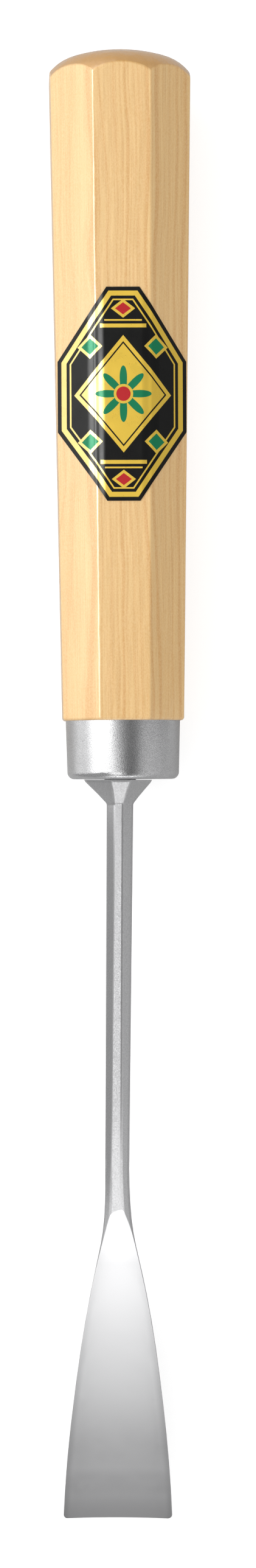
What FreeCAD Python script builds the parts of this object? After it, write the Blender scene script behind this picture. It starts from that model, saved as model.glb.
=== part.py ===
import FreeCAD, Part
import math
import os
import re
import Sketcher
from FreeCAD import Placement, Rotation, Vector

# Fishtail carving chisel, millimetres.
# Every piece is drawn along the handle's axis: +X runs from the butt of the handle towards the
# cutting edge, +Y is to the right and +Z is up, out of the blade's polished face. The butt's crown
# is at X = 0. The placements at the end lay the tool on one flat of its handle, face up.

doc = FreeCAD.newDocument("fishtail_carving_chisel")
sheet = doc.addObject("Spreadsheet::Sheet", "Sizes")

SIZES = (
    # handle, a tapered octagon of hardwood with a domed butt and a turned spigot
    ("handle_length", 122.8),
    ("butt_flats", 25.8),
    ("neck_flats", 22.1),
    ("arris_radius", 0.6),
    ("crown_radius", 30.0),
    ("crown_rim_radius", 7.8),
    ("crown_rim_margin", 0.6),
    ("crown_edge_radius", 0.7),
    ("spigot_diameter", 18.6),
    ("spigot_end_clearance", 0.3),
    # ferrule, a drawn steel cap over the spigot
    ("ferrule_length", 10.7),
    ("ferrule_mouth_diameter", 21.0),
    ("ferrule_end_diameter", 20.5),
    ("ferrule_rim_radius", 1.3),
    ("ferrule_end_wall", 1.2),
    ("ferrule_hole_diameter", 9.6),
    ("ferrule_clearance", 0.05),
    # blade, one forging: tang, bolster, shank and fishtail
    ("blade_side_offset", 0.57),
    ("blade_yaw_angle", 0.5),
    ("tang_length", 46.0),
    ("tang_root_side", 5.6),
    ("tang_tip_side", 3.0),
    ("tang_clearance", 0.1),
    ("tang_end_clearance", 0.4),
    ("seat_clearance", 0.1),
    ("bolster_length", 4.4),
    ("bolster_flats", 12.2),
    ("bolster_facet", 3.5),
    ("bolster_lip", 0.4),
    ("bolster_lip_step", 0.15),
    ("bolster_roll_angle", -3.0),
    ("bolster_side_offset", 0.38),
    ("shank_length", 64.9),
    ("shank_root_flats", 4.78),
    ("shank_root_facet", 1.7),
    ("shank_tip_flats", 4.3),
    ("shank_tip_facet", 2.0),
    ("shank_roll_angle", 8.5),
    ("shank_tip_side_offset", 0.3),
    ("flare_length", 66.0),
    ("blade_width", 20.0),
    ("blade_roll_angle", 1.0),
    ("tip_chamfer", 0.6),
    ("tip_corner_radius", 0.7),
    ("forged_radius", 0.8),
    # grinding of the fishtail: scooped hollow face, rounded back, bevel on the back
    ("face_roll_angle", 2.0),
    ("scoop_start", 9.8),
    ("scoop_decay", 6.0),
    ("blade_thickness", 1.9),
    ("back_decay", 20.0),
    ("bevel_angle", 22.0),
    ("edge_land", 0.08),
    # label, a thin foil sticker over the three upper flats
    ("label_start", 44.6),
    ("label_length", 38.6),
    ("label_width", 23.5),
    ("label_end_width", 6.0),
    ("label_side_length", 12.8),
    ("label_thickness", 0.12),
    ("label_glue", 0.02),
    # how far a cutting shape runs past what it cuts
    ("overrun", 2.0),
    # shares: a regular octagon's facet over its flats, and the hollow's rise over its width
    ("octagon_facet_share", 0.41421356),
    ("hollow_share", 0.065),
)

# Flare of the fishtail: how far along it, the share of the widening that is reached there and the
# share that is left of the shank's lean to the left.
FLARE_SHARES = (
    (0.000, 0.000, 1.00),
    (0.068, 0.002, 0.95),
    (0.125, 0.016, 0.72),
    (0.180, 0.050, 0.52),
    (0.235, 0.120, 0.33),
    (0.290, 0.220, 0.20),
    (0.350, 0.330, 0.10),
    (0.450, 0.490, 0.00),
    (0.580, 0.660, 0.00),
    (0.740, 0.830, 0.00),
    (0.880, 0.940, 0.00),
    (1.000, 1.000, 0.00),
)

for row, (alias, number) in enumerate(SIZES, start=1):
    sheet.set("A%d" % row, alias)
    sheet.set("B%d" % row, repr(number))
    sheet.setAlias("B%d" % row, alias)
doc.recompute()

ALIAS_WORDS = re.compile(r"\b(%s)\b" % "|".join(alias for alias, _ in SIZES))

# Expressions that more than one piece uses.
FERRULE_INNER_RADIUS = "(spigot_diameter / 2 + ferrule_clearance)"
SEAT = "(handle_length + ferrule_length)"
FLARE_START = "(bolster_length + shank_length)"
BLADE_LENGTH = "(bolster_length + shank_length + flare_length)"
HANDLE_SLOPE = "((butt_flats - neck_flats) / (2 * handle_length))"
# The bolster is square to the blade, so it needs a little room at the ferrule for the blade's yaw.
BLADE_SEAT = "(handle_length + ferrule_length + seat_clearance)"


def bound(expression):
    """The expression with each size's name pointing at the sheet."""
    return ALIAS_WORDS.sub(r"Sizes.\1", expression)


def value(expression):
    """The number that the expression gives now."""
    return float(sheet.evalExpression(expression))


# Sketches

def origin_plane(body, role):
    """One of the body's own planes."""
    return next(item for item in body.Origin.OriginFeatures if item.Role == role)


def new_sketch(body, name, role, station="0"):
    """A sketch on one of the body's origin planes, moved along its normal to the station."""
    sketch = body.newObject("Sketcher::SketchObject", name)
    sketch.AttachmentSupport = [(origin_plane(body, role), "")]
    sketch.MapMode = "FlatFace"
    sketch.setExpression("AttachmentOffset.Base.z", bound(station))
    return sketch


def roll(sketch, expression):
    """Turns a cross-section about the tool's axis."""
    sketch.AttachmentOffset = Placement(sketch.AttachmentOffset.Base,
                                        Rotation(Vector(0, 0, 1), value(expression)))
    sketch.setExpression("AttachmentOffset.Rotation.Angle", bound(expression))


def set_over(sketch, expression):
    """Moves a cross-section to the left of the tool's axis."""
    sketch.setExpression("AttachmentOffset.Base.x", bound("-(%s)" % expression))


def dimension(sketch, kind, *args):
    """A dimension; its last argument is the expression that drives it."""
    index = sketch.addConstraint(Sketcher.Constraint(kind, *args[:-1], value(args[-1])))
    sketch.setExpression("Constraints[%d]" % index, bound(args[-1]))


def join(sketch, first, second):
    """The end of one line or arc meets the start of the next."""
    sketch.addConstraint(Sketcher.Constraint("Coincident", first, 2, second, 1))


def closed_outline(sketch, points):
    """Straight lines from point to point, joined end to end."""
    corners = [Vector(across, up, 0) for across, up in points]
    lines = [sketch.addGeometry(Part.LineSegment(a, b), False)
             for a, b in zip(corners, corners[1:] + corners[:1])]
    for first, second in zip(lines, lines[1:] + lines[:1]):
        join(sketch, first, second)
    return lines


def octagon_section(body, name, station, width, height, top_facet, side_facet):
    """An octagon across the tool's axis, alike on both sides of both of its middle lines."""
    sketch = new_sketch(body, name, "YZ_Plane", station)
    right, top = value(width) / 2, value(height) / 2
    a, b = value(top_facet) / 2, value(side_facet) / 2
    lines = closed_outline(sketch, [(a, top), (-a, top), (-right, b), (-right, -b),
                                    (-a, -top), (a, -top), (right, -b), (right, b)])
    upper, port, lower, starboard = lines[0::2]
    for line, axis in ((upper, -2), (lower, -2), (starboard, -1), (port, -1)):
        sketch.addConstraint(Sketcher.Constraint("Symmetric", line, 1, line, 2, axis))
    dimension(sketch, "DistanceX", upper, 2, upper, 1, top_facet)
    dimension(sketch, "DistanceX", lower, 1, lower, 2, top_facet)
    dimension(sketch, "DistanceY", port, 2, port, 1, side_facet)
    dimension(sketch, "DistanceY", starboard, 1, starboard, 2, side_facet)
    dimension(sketch, "DistanceY", -1, 1, upper, 1, "(%s) / 2" % height)
    dimension(sketch, "DistanceY", lower, 1, -1, 1, "(%s) / 2" % height)
    dimension(sketch, "DistanceX", -1, 1, starboard, 1, "(%s) / 2" % width)
    dimension(sketch, "DistanceX", port, 1, -1, 1, "(%s) / 2" % width)
    return sketch


def square_section(body, name, station, side):
    """A square across the tool's axis."""
    sketch = new_sketch(body, name, "YZ_Plane", station)
    half = value(side) / 2
    upper, starboard, lower, port = closed_outline(
        sketch, [(-half, half), (half, half), (half, -half), (-half, -half)])
    sketch.addConstraint(Sketcher.Constraint("Symmetric", upper, 1, lower, 1, -1, 1))
    sketch.addConstraint(Sketcher.Constraint("Horizontal", upper))
    sketch.addConstraint(Sketcher.Constraint("Vertical", starboard))
    sketch.addConstraint(Sketcher.Constraint("Horizontal", lower))
    sketch.addConstraint(Sketcher.Constraint("Vertical", port))
    dimension(sketch, "DistanceX", upper, 1, upper, 2, side)
    dimension(sketch, "DistanceY", starboard, 2, starboard, 1, side)
    return sketch


def grinding_section(body, name, station, level, width, radius, side):
    """A cross-section of what is ground away above (side 1) or below (side -1) a hollow arc."""
    sketch = new_sketch(body, name, "YZ_Plane", station)
    reach = "(%s) / 2 + overrun" % width
    far = "2 * shank_tip_flats + 2 * overrun"
    centre = "(%s) + (%s)" % (radius, level)
    half, edge = value(reach), side * value(far)
    spread = math.asin(half / value(radius))
    circle = Part.Circle(Vector(0, value(centre), 0), Vector(0, 0, 1), value(radius))
    arc = sketch.addGeometry(
        Part.ArcOfCircle(circle, -math.pi / 2 - spread, -math.pi / 2 + spread), False)
    rim = value(centre) - value(radius) * math.cos(spread)
    corners = [Vector(half, rim, 0), Vector(half, edge, 0), Vector(-half, edge, 0),
               Vector(-half, rim, 0)]
    right, across, left = [sketch.addGeometry(Part.LineSegment(a, b), False)
                           for a, b in zip(corners, corners[1:])]
    join(sketch, arc, right)
    join(sketch, right, across)
    join(sketch, across, left)
    join(sketch, left, arc)
    sketch.addConstraint(Sketcher.Constraint("Vertical", right))
    sketch.addConstraint(Sketcher.Constraint("Vertical", left))
    sketch.addConstraint(Sketcher.Constraint("Horizontal", across))
    sketch.addConstraint(Sketcher.Constraint("PointOnObject", arc, 3, -2))
    dimension(sketch, "Radius", arc, radius)
    dimension(sketch, "DistanceY", -1, 1, arc, 3, centre)
    dimension(sketch, "DistanceX", arc, 1, -1, 1, reach)
    dimension(sketch, "DistanceX", -1, 1, arc, 2, reach)
    if side > 0:
        dimension(sketch, "DistanceY", -1, 1, across, 1, far)
    else:
        dimension(sketch, "DistanceY", across, 1, -1, 1, far)
    return sketch


# Features

def new_body(name):
    """A body whose name and label are the piece's node name."""
    body = doc.addObject("PartDesign::Body", name)
    body.Label = name
    return body


def loft(body, kind, name, sections, ruled):
    """Adds or takes away what runs through the sections."""
    feature = body.newObject("PartDesign::" + kind, name)
    feature.Profile = sections[0]
    feature.Sections = sections[1:]
    feature.Ruled = ruled
    doc.recompute()
    return feature


def round_edges(body, name, base, chosen, radius):
    """Rounds the edges of the base feature that the test picks."""
    names = ["Edge%d" % number for number, edge in enumerate(base.Shape.Edges, start=1) if chosen(edge)]
    feature = body.newObject("PartDesign::Fillet", name)
    feature.Base = (base, names)
    feature.setExpression("Radius", bound(radius))
    doc.recompute()
    return feature


# Handle

def round_bar(body, name, station, radius, length):
    """A round bar along the tool's axis."""
    sketch = new_sketch(body, name + "_circle", "YZ_Plane", station)
    circle = sketch.addGeometry(
        Part.Circle(Vector(0, 0, 0), Vector(0, 0, 1), value(radius)), False)
    sketch.addConstraint(Sketcher.Constraint("Coincident", circle, 3, -1, 1))
    dimension(sketch, "Radius", circle, radius)
    bar = body.newObject("PartDesign::Pad", name)
    bar.Profile = sketch
    bar.setExpression("Length", bound(length))
    doc.recompute()
    return bar


def planing_sketch(body, growth):
    """What one plane cut takes off the bar: all that lies outside one slanting flat."""
    sketch = new_sketch(body, "outside_of_flat", "XZ_Plane")
    spread = "%s * overrun" % HANDLE_SLOPE
    at_butt = "butt_flats / 2 + %s + %s" % (growth, spread)
    at_neck = "neck_flats / 2 + %s - %s" % (growth, spread)
    far = "butt_flats + overrun"
    back, front = -value("overrun"), value("handle_length + overrun")
    flat, ahead, above, behind = closed_outline(
        sketch, [(back, value(at_butt)), (front, value(at_neck)), (front, value(far)), (back, value(far))])
    sketch.addConstraint(Sketcher.Constraint("Vertical", ahead))
    sketch.addConstraint(Sketcher.Constraint("Horizontal", above))
    sketch.addConstraint(Sketcher.Constraint("Vertical", behind))
    dimension(sketch, "DistanceX", flat, 1, -1, 1, "overrun")
    dimension(sketch, "DistanceX", -1, 1, flat, 2, "handle_length + overrun")
    dimension(sketch, "DistanceY", -1, 1, flat, 1, at_butt)
    dimension(sketch, "DistanceY", -1, 1, flat, 2, at_neck)
    dimension(sketch, "DistanceY", -1, 1, above, 1, far)
    return sketch


def handle_stock(body, growth):
    """Long tapered octagon with soft edges and a spigot, the octagon grown outwards by a length."""
    corner_share = "(1 + octagon_facet_share ^ 2) ^ 0.5"
    round_bar(body, "bar", "0", "(butt_flats / 2 + %s) * %s + overrun" % (growth, corner_share),
              "handle_length")
    flat = body.newObject("PartDesign::Pocket", "flat")
    flat.Profile = planing_sketch(body, growth)
    flat.Type = "ThroughAll"
    flat.Midplane = True
    doc.recompute()
    flats = body.newObject("PartDesign::PolarPattern", "eight_flats")
    flats.Originals = [flat]
    flats.Axis = (flat.Profile[0], ["H_Axis"])
    flats.Angle = 360
    flats.Occurrences = 8
    body.Tip = flats
    doc.recompute()
    spigot = round_bar(body, "spigot", "handle_length", "spigot_diameter / 2",
                       "ferrule_length - ferrule_end_wall - spigot_end_clearance")
    neck, near = value("handle_length"), value("arris_radius")
    spigot_radius = value("spigot_diameter / 2")

    def is_arris_or_neck(edge):
        box = edge.BoundBox
        outside = math.hypot(max(box.YMax, -box.YMin), max(box.ZMax, -box.ZMin)) > spigot_radius + near
        return outside and box.XMin > -near and neck - near < box.XMax < neck + near \
            and not isinstance(edge.Curve, Part.Circle)
    return round_edges(body, "soft_edges", spigot, is_arris_or_neck, "arris_radius + " + growth)


def crown_sketch(body):
    """What the turned crown leaves off the butt: outside a shallow dome with a rounded rim."""
    sketch = new_sketch(body, "crown_outside", "XY_Plane")
    crown, rim = value("crown_radius"), value("crown_rim_radius")
    reach = "(butt_flats / 2 * (1 + octagon_facet_share ^ 2) ^ 0.5 + crown_rim_margin)"
    centre_up = value(reach) - rim
    centre_along = crown - math.sqrt((crown - rim) ** 2 - centre_up ** 2)
    turn = math.atan2(centre_up, crown - centre_along)
    dome = sketch.addGeometry(Part.ArcOfCircle(
        Part.Circle(Vector(crown, 0, 0), Vector(0, 0, 1), crown), math.pi - turn, math.pi), False)
    corner = sketch.addGeometry(Part.ArcOfCircle(
        Part.Circle(Vector(centre_along, centre_up, 0), Vector(0, 0, 1), rim),
        math.pi / 2, math.pi - turn), False)
    outer = value(reach) + value("overrun")
    back = -value("overrun")
    points = [Vector(0, 0, 0), Vector(back, 0, 0), Vector(back, outer, 0),
              Vector(centre_along, outer, 0), Vector(centre_along, value(reach), 0)]
    below, behind, above, front = [sketch.addGeometry(Part.LineSegment(a, b), False)
                                   for a, b in zip(points, points[1:])]
    join(sketch, dome, below)
    join(sketch, below, behind)
    join(sketch, behind, above)
    join(sketch, above, front)
    join(sketch, front, corner)
    sketch.addConstraint(Sketcher.Constraint("Tangent", corner, 2, dome, 1))
    sketch.addConstraint(Sketcher.Constraint("Coincident", dome, 2, -1, 1))
    sketch.addConstraint(Sketcher.Constraint("PointOnObject", dome, 3, -1))
    sketch.addConstraint(Sketcher.Constraint("Horizontal", below))
    sketch.addConstraint(Sketcher.Constraint("Vertical", behind))
    sketch.addConstraint(Sketcher.Constraint("Horizontal", above))
    sketch.addConstraint(Sketcher.Constraint("Vertical", front))
    sketch.addConstraint(Sketcher.Constraint("Vertical", corner, 3, corner, 1))
    dimension(sketch, "Radius", dome, "crown_radius")
    dimension(sketch, "Radius", corner, "crown_rim_radius")
    dimension(sketch, "DistanceY", -1, 1, front, 2, reach)
    dimension(sketch, "DistanceX", behind, 1, -1, 1, "overrun")
    dimension(sketch, "DistanceY", -1, 1, behind, 2, reach + " + overrun")
    return sketch


def make_handle():
    """Octagonal handle with its spigot, crown and tang hole."""
    body = new_body("handle")
    handle_stock(body, "0")
    crown = body.newObject("PartDesign::Groove", "crown")
    crown.Profile = crown_sketch(body)
    crown.ReferenceAxis = (crown.Profile[0], ["H_Axis"])
    crown.Angle = 360
    doc.recompute()
    behind, crown_end = -value("overrun"), value("crown_radius / 2")

    def is_crown_edge(edge):
        box = edge.BoundBox
        outside = math.hypot(max(box.YMax, -box.YMin), max(box.ZMax, -box.ZMin))
        return behind < box.XMin and box.XMax < crown_end and outside > value("butt_flats / 2") \
            and not isinstance(edge.Curve, Part.Circle)
    crown = round_edges(body, "soft_crown", crown, is_crown_edge, "crown_edge_radius")

    # The tang's hole lies on the blade's own line, which is set over and turned a little.
    grow = "+ 2 * tang_clearance"
    mouth = square_section(body, "tang_hole_mouth", "0", "tang_root_side " + grow)
    end = square_section(body, "tang_hole_end", "0", "tang_tip_side " + grow)
    for sketch, depth in ((mouth, "0"), (end, "(tang_length + tang_end_clearance)")):
        sketch.AttachmentOffset = Placement(Vector(0, 0, 0),
                                            Rotation(Vector(0, 1, 0), -value("blade_yaw_angle")))
        sketch.setExpression("AttachmentOffset.Rotation.Angle", bound("-blade_yaw_angle"))
        sketch.setExpression("AttachmentOffset.Base.x", bound(
            "-blade_side_offset + %s * sin(blade_yaw_angle * 1 deg)" % depth))
        sketch.setExpression("AttachmentOffset.Base.z", bound(
            "%s - %s * cos(blade_yaw_angle * 1 deg)" % (SEAT, depth)))
    loft(body, "SubtractiveLoft", "tang_hole", [mouth, end], True)
    return body


# Ferrule

def make_ferrule():
    """Cap with a rounded rim and a hole for the tang."""
    body = new_body("ferrule")
    sketch = new_sketch(body, "wall", "XY_Plane")
    mouth, end = value("handle_length"), value(SEAT)
    inner = value(FERRULE_INNER_RADIUS)
    hole = value("ferrule_hole_diameter / 2")
    outer, rim = value("ferrule_mouth_diameter / 2"), value("ferrule_rim_radius")
    shoulder = value("ferrule_end_diameter / 2")
    base = value("ferrule_end_wall")
    points = [Vector(end, shoulder - rim, 0), Vector(end, hole, 0), Vector(end - base, hole, 0),
              Vector(end - base, inner, 0), Vector(mouth, inner, 0), Vector(mouth, outer, 0),
              Vector(end - rim, shoulder, 0)]
    face, hole_wall, floor, inside, lip, outside = [
        sketch.addGeometry(Part.LineSegment(a, b), False) for a, b in zip(points, points[1:])]
    corner = sketch.addGeometry(Part.ArcOfCircle(
        Part.Circle(Vector(end - rim, shoulder - rim, 0), Vector(0, 0, 1), rim), 0, math.pi / 2), False)
    for first, second in ((face, hole_wall), (hole_wall, floor), (floor, inside), (inside, lip),
                          (lip, outside)):
        join(sketch, first, second)
    sketch.addConstraint(Sketcher.Constraint("Tangent", corner, 1, face, 1))
    sketch.addConstraint(Sketcher.Constraint("Tangent", corner, 2, outside, 2))
    for line in (face, floor, lip):
        sketch.addConstraint(Sketcher.Constraint("Vertical", line))
    for line in (hole_wall, inside):
        sketch.addConstraint(Sketcher.Constraint("Horizontal", line))
    dimension(sketch, "Radius", corner, "ferrule_rim_radius")
    dimension(sketch, "DistanceX", -1, 1, face, 1, SEAT)
    dimension(sketch, "DistanceX", -1, 1, lip, 1, "handle_length")
    dimension(sketch, "DistanceX", floor, 1, face, 1, "ferrule_end_wall")
    dimension(sketch, "DistanceY", -1, 1, hole_wall, 1, "ferrule_hole_diameter / 2")
    dimension(sketch, "DistanceY", -1, 1, inside, 1, FERRULE_INNER_RADIUS)
    dimension(sketch, "DistanceY", -1, 1, outside, 1, "ferrule_mouth_diameter / 2")
    dimension(sketch, "DistanceY", -1, 1, outside, 2, "ferrule_end_diameter / 2")
    cup = body.newObject("PartDesign::Revolution", "cup")
    cup.Profile = sketch
    cup.ReferenceAxis = (sketch, ["H_Axis"])
    cup.Angle = 360
    doc.recompute()
    return body


# Blade, whose own X = 0 is the bolster's seat

def flare_width(growth_share):
    """Width of the fishtail where it has reached that share of its widening."""
    return "(shank_tip_flats + (blade_width - shank_tip_flats) * %s)" % growth_share


def flare_sections(body):
    """Cross-sections of the forged fishtail before it is ground."""
    root_chamfer = "(shank_tip_flats - shank_tip_facet) / 2"
    sections = []
    for number, (along_share, growth_share, lean_share) in enumerate(FLARE_SHARES):
        width = flare_width(growth_share)
        chamfer = "(%s + (tip_chamfer - %s) * %s)" % (root_chamfer, root_chamfer, growth_share)
        section = octagon_section(
            body, "flare_%d" % number, "%s + flare_length * %s" % (FLARE_START, along_share),
            width, "shank_tip_flats", "%s - 2 * %s" % (width, chamfer),
            "shank_tip_flats - 2 * %s" % chamfer)
        roll(section, "shank_roll_angle + (blade_roll_angle - shank_roll_angle) * %s" % along_share)
        set_over(section, "shank_tip_side_offset * %s" % lean_share)
        sections.append(section)
    return sections


def grinding_loft(body, name, side):
    """The scooped hollow face (side 1) or the rounded back (side -1)."""
    sections = []
    for number, (along_share, growth_share, _) in enumerate(FLARE_SHARES[1:]):
        past = "+ overrun" if along_share == FLARE_SHARES[-1][0] else ""
        along = "(flare_length * %s %s)" % (along_share, past)
        width = flare_width(growth_share)
        hollow_radius = "%s / (8 * hollow_share)" % width
        if side > 0:
            level = "shank_tip_flats / 2 * exp((scoop_start - %s) / scoop_decay)" % along
            radius = hollow_radius
        else:
            level = ("-shank_tip_flats / 2 + (shank_tip_flats / 2 - blade_thickness)"
                     " * (1 - exp((scoop_start - %s) / back_decay))" % along)
            radius = hollow_radius + " + blade_thickness"
        section = grinding_section(body, "%s_%d" % (name, number),
                                   "%s + %s" % (FLARE_START, along), level, width, radius, side)
        roll(section, "face_roll_angle")
        sections.append(section)
    return loft(body, "SubtractiveLoft", name, sections, False)


def make_blade():
    """Tang, bolster and shank, then the fishtail as forged, then its grinding."""
    body = new_body("blade")
    root = square_section(body, "tang_root", "0", "tang_root_side")
    tip = square_section(body, "tang_tip", "-tang_length", "tang_tip_side")
    loft(body, "AdditiveLoft", "tang", [root, tip], True)

    lip_flats = "(bolster_flats - 2 * bolster_lip_step)"
    bolster = []
    for name, station, flats, facet, turn, over in (
            ("bolster_seat", "0", "bolster_flats", "bolster_facet", "bolster_roll_angle",
             "bolster_side_offset"),
            ("bolster_lip", "bolster_lip", lip_flats, "bolster_facet", "bolster_roll_angle",
             "bolster_side_offset"),
            ("shank_root", "bolster_length", "shank_root_flats", "shank_root_facet",
             "shank_roll_angle", "0")):
        section = octagon_section(body, name, station, flats, flats, facet, facet)
        roll(section, turn)
        set_over(section, over)
        bolster.append(section)
    loft(body, "AdditiveLoft", "bolster", bolster, True)

    flare = flare_sections(body)
    shank_root = octagon_section(body, "shank_start", "bolster_length", "shank_root_flats",
                                 "shank_root_flats", "shank_root_facet", "shank_root_facet")
    roll(shank_root, "shank_roll_angle")
    loft(body, "AdditiveLoft", "shank", [shank_root, flare[0]], True)
    fishtail = loft(body, "AdditiveLoft", "fishtail", flare, False)

    lip, flare_root, near = value("bolster_lip"), value(FLARE_START), value("bolster_lip_step")
    end = value(BLADE_LENGTH + " - edge_land")
    chamfer = value("tip_chamfer + edge_land")

    def is_forged_edge(edge):
        box = edge.BoundBox
        return lip - near < box.XMin < flare_root - near and box.XMax < flare_root + near

    def is_tip_corner(edge):
        return edge.BoundBox.XMin > end and edge.BoundBox.ZLength > chamfer
    forged = round_edges(body, "forged_edges", fishtail, is_forged_edge, "forged_radius")
    round_edges(body, "tip_corners", forged, is_tip_corner, "tip_corner_radius")

    grinding_loft(body, "hollow_face", 1)
    grinding_loft(body, "rounded_back", -1)

    radius = "blade_width / (8 * hollow_share)"
    slope = "tan(bevel_angle * 1 deg)"
    run = "(blade_thickness / %s)" % slope
    bevel = []
    for name, station, drop in (("bevel_heel", "%s - %s - overrun" % (BLADE_LENGTH, run),
                                 "blade_thickness + overrun * " + slope),
                                ("bevel_edge", BLADE_LENGTH + " + overrun", "-overrun * " + slope)):
        section = grinding_section(body, name, station, "-edge_land - (%s)" % drop,
                                   "blade_width", radius, -1)
        roll(section, "face_roll_angle")
        bevel.append(section)
    loft(body, "SubtractiveLoft", "bevel", bevel, True)
    return body


# Label

def make_label():
    """Foil bent over the handle: a grown handle, trimmed to the outline, less the handle itself."""
    body = new_body("foil")
    handle_stock(body, "label_glue + label_thickness")

    outline = new_sketch(body, "outside_of_outline", "XY_Plane")
    start, length = value("label_start"), value("label_length")
    end_half, half = value("label_end_width / 2"), value("label_width / 2")
    side = value("label_side_length / 2")
    middle = start + length / 2
    inner = closed_outline(outline, [
        (start, -end_half), (start, end_half), (middle - side, half), (middle + side, half),
        (start + length, end_half), (start + length, -end_half), (middle + side, -half),
        (middle - side, -half)])
    near, right, far, left = inner[0::2]
    outline.addConstraint(Sketcher.Constraint("Symmetric", near, 1, near, 2, -1))
    outline.addConstraint(Sketcher.Constraint("Symmetric", far, 1, far, 2, -1))
    outline.addConstraint(Sketcher.Constraint("Symmetric", right, 1, left, 2, -1))
    outline.addConstraint(Sketcher.Constraint("Symmetric", right, 2, left, 1, -1))
    outline.addConstraint(Sketcher.Constraint("Horizontal", right))
    dimension(outline, "DistanceX", -1, 1, near, 2, "label_start")
    dimension(outline, "DistanceX", near, 2, far, 1, "label_length")
    dimension(outline, "DistanceY", near, 1, near, 2, "label_end_width")
    dimension(outline, "DistanceY", far, 2, far, 1, "label_end_width")
    dimension(outline, "DistanceY", left, 2, right, 1, "label_width")
    dimension(outline, "DistanceX", right, 1, right, 2, "label_side_length")
    dimension(outline, "DistanceX", near, 2, right, 1, "(label_length - label_side_length) / 2")
    margin = "(butt_flats + overrun)"
    before, beyond = -value(margin), value("handle_length") + value(margin)
    wide = value(margin)
    low, front, high, back = closed_outline(outline, [(before, -wide), (beyond, -wide),
                                                      (beyond, wide), (before, wide)])
    for line in (low, high):
        outline.addConstraint(Sketcher.Constraint("Horizontal", line))
    for line in (front, back):
        outline.addConstraint(Sketcher.Constraint("Vertical", line))
    dimension(outline, "DistanceX", low, 1, -1, 1, margin)
    dimension(outline, "DistanceX", -1, 1, low, 2, "handle_length + " + margin)
    dimension(outline, "DistanceY", low, 1, -1, 1, margin)
    dimension(outline, "DistanceY", -1, 1, high, 1, margin)
    trim = body.newObject("PartDesign::Pocket", "trim_to_outline")
    trim.Profile = outline
    trim.Type = "ThroughAll"
    trim.Midplane = True
    doc.recompute()

    lower = new_sketch(body, "lower_half", "XZ_Plane")
    low, front, high, back = closed_outline(lower, [(before, -wide), (beyond, -wide),
                                                    (beyond, 0), (before, 0)])
    for line in (low, high):
        lower.addConstraint(Sketcher.Constraint("Horizontal", line))
    for line in (front, back):
        lower.addConstraint(Sketcher.Constraint("Vertical", line))
    lower.addConstraint(Sketcher.Constraint("PointOnObject", high, 1, -1))
    dimension(lower, "DistanceX", low, 1, -1, 1, margin)
    dimension(lower, "DistanceX", -1, 1, low, 2, "handle_length + " + margin)
    dimension(lower, "DistanceY", low, 1, -1, 1, margin)
    trim_lower = body.newObject("PartDesign::Pocket", "trim_lower_half")
    trim_lower.Profile = lower
    trim_lower.Type = "ThroughAll"
    trim_lower.Midplane = True
    doc.recompute()

    wood = new_body("wood")
    handle_stock(wood, "label_glue")
    cut = doc.addObject("Part::Cut", "label")
    cut.Label = "label"
    cut.Base = body
    cut.Tool = wood
    doc.recompute()
    return cut


def lay_down(body, local):
    """Puts a piece in place and lays the tool on the lower flat of its handle."""
    tilt = math.degrees(math.atan(value(HANDLE_SLOPE)))
    level_share = math.cos(math.radians(tilt))
    base = Vector(-value("(%s + %s) / 2" % (BLADE_SEAT, BLADE_LENGTH)) * level_share, 0,
                  value("butt_flats / 2") * level_share)
    body.Placement = Placement(base, Rotation(Vector(0, 1, 0), tilt)).multiply(local)


handle = make_handle()
ferrule = make_ferrule()
blade = make_blade()
label = make_label()

for piece in (handle, ferrule, label):
    lay_down(piece, Placement())
lay_down(blade, Placement(Vector(value(BLADE_SEAT), -value("blade_side_offset"), 0),
                          Rotation(Vector(0, 0, 1), -value("blade_yaw_angle"))))
doc.recompute()

for item in doc.Objects:
    if "Invalid" in item.State or "Error" in item.State:
        raise RuntimeError("%s failed: %s" % (item.Label, item.State))

os.makedirs("parts", exist_ok=True)
for piece in (handle, ferrule, blade, label):
    if piece.Shape.isNull() or not piece.Shape.isValid() or len(piece.Shape.Solids) != 1:
        raise RuntimeError("%s has no sound solid" % piece.Label)
    piece.Shape.exportStep(os.path.join("parts", piece.Label + ".step"))
    box = piece.Shape.BoundBox
    print("%-8s %8.1f mm3  X %.2f %.2f  Y %.2f %.2f  Z %.2f %.2f" % (
        piece.Label, piece.Shape.Volume, box.XMin, box.XMax, box.YMin, box.YMax, box.ZMin, box.ZMax))
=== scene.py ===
import math

import bpy
from mathutils import Matrix, Vector

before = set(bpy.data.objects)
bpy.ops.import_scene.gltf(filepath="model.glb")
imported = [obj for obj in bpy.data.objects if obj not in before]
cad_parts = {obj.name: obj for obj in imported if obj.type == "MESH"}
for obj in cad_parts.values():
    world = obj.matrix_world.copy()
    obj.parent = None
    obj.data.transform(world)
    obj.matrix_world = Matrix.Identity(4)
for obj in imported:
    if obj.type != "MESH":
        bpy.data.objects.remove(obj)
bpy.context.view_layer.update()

# Fishtail carving chisel: pale lacquered hardwood handle with a printed foil label, drawn steel
# ferrule and forged blade with a polished face. Every piece is a CAD node, because the solids
# already have the real shapes, so what is made here is the finish of each surface, and the
# floor, cards, lamp and camera.

MM = 0.001

# The tool's own line, from the butt of the handle (0) to the cutting edge, in millimetres. The
# tool lies on one flat of its tapered handle, so its line slopes down towards the edge.
BUTT_FLATS = 25.8
NECK_FLATS = 22.1
HANDLE_LENGTH = 122.8
BLADE_SEAT = 133.6
BLADE_LENGTH = 135.3
SLOPE = math.atan((BUTT_FLATS - NECK_FLATS) / 2 / HANDLE_LENGTH)
BLADE_YAW = math.radians(0.5)
BLADE_SIDE_OFFSET = 0.57

# A Mix node's sockets go by number: its two values, or its two colours and the mixed colour.
VALUE_A, VALUE_B = 2, 3
COLOUR_A, COLOUR_B, MIXED = 6, 7, 2


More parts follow.
